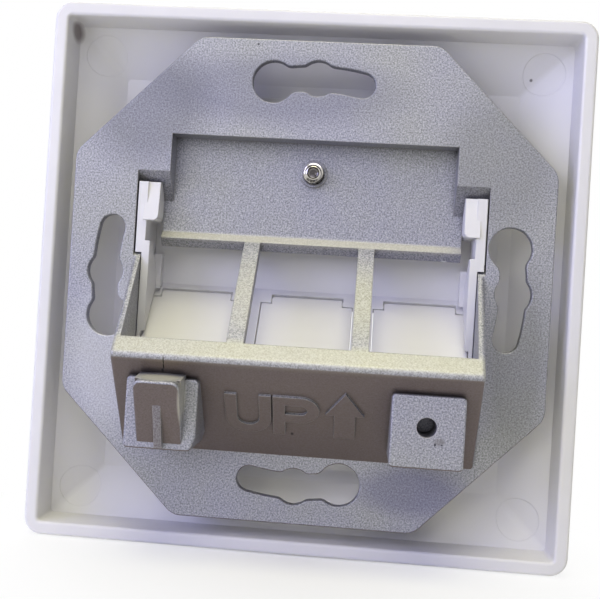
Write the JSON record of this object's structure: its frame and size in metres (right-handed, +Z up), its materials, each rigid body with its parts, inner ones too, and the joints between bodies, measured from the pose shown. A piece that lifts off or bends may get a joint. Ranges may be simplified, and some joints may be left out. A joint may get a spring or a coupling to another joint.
{
  "type": "data wall socket",
  "caption": "Square flush data wall socket: die-cast mounting frame with a tilted module box, white plastic outer frame and centre plate with hinged dust flaps.",
  "frame": {"origin": "centre of the fixing screw circle on the rear face of the mounting frame, which lies on the wall", "axes": "+Y points into the wall, -Y is the front seen from the room, +Z is up, +X is to the right seen from the room"},
  "size_m": [0.08, 0.0288, 0.08],
  "materials": {
    "zinc": "matte",
    "frame_white": "satin",
    "plate_white": "satin",
    "flap_white": "satin",
    "screw_steel": "polished",
    "paper": "matte",
    "clear_cover": "clear"
  },
  "bodies": {
    "socket": {"mounting_frame": "zinc", "outer_frame": "frame_white", "centre_plate": "plate_white", "centre_screw": "screw_steel", "label_strip": "paper", "label_cover": "clear_cover"},
    "flap_1": {"dust_flap_1": "flap_white"},
    "flap_2": {"dust_flap_2": "flap_white"},
    "flap_3": {"dust_flap_3": "flap_white"}
  },
  "joints": [
    {"name": "flap_1_hinge", "type": "hinge", "parent": "socket", "child": "flap_1", "pos_m": [-0.0171, -0.00766, -0.0032], "axis": [-1, 0, 0], "range_deg": [0, 90]},
    {"name": "flap_2_hinge", "type": "hinge", "parent": "socket", "child": "flap_2", "pos_m": [0, -0.00766, -0.0032], "axis": [-1, 0, 0], "range_deg": [0, 90]},
    {"name": "flap_3_hinge", "type": "hinge", "parent": "socket", "child": "flap_3", "pos_m": [0.0171, -0.00766, -0.0032], "axis": [-1, 0, 0], "range_deg": [0, 90]}
  ]
}
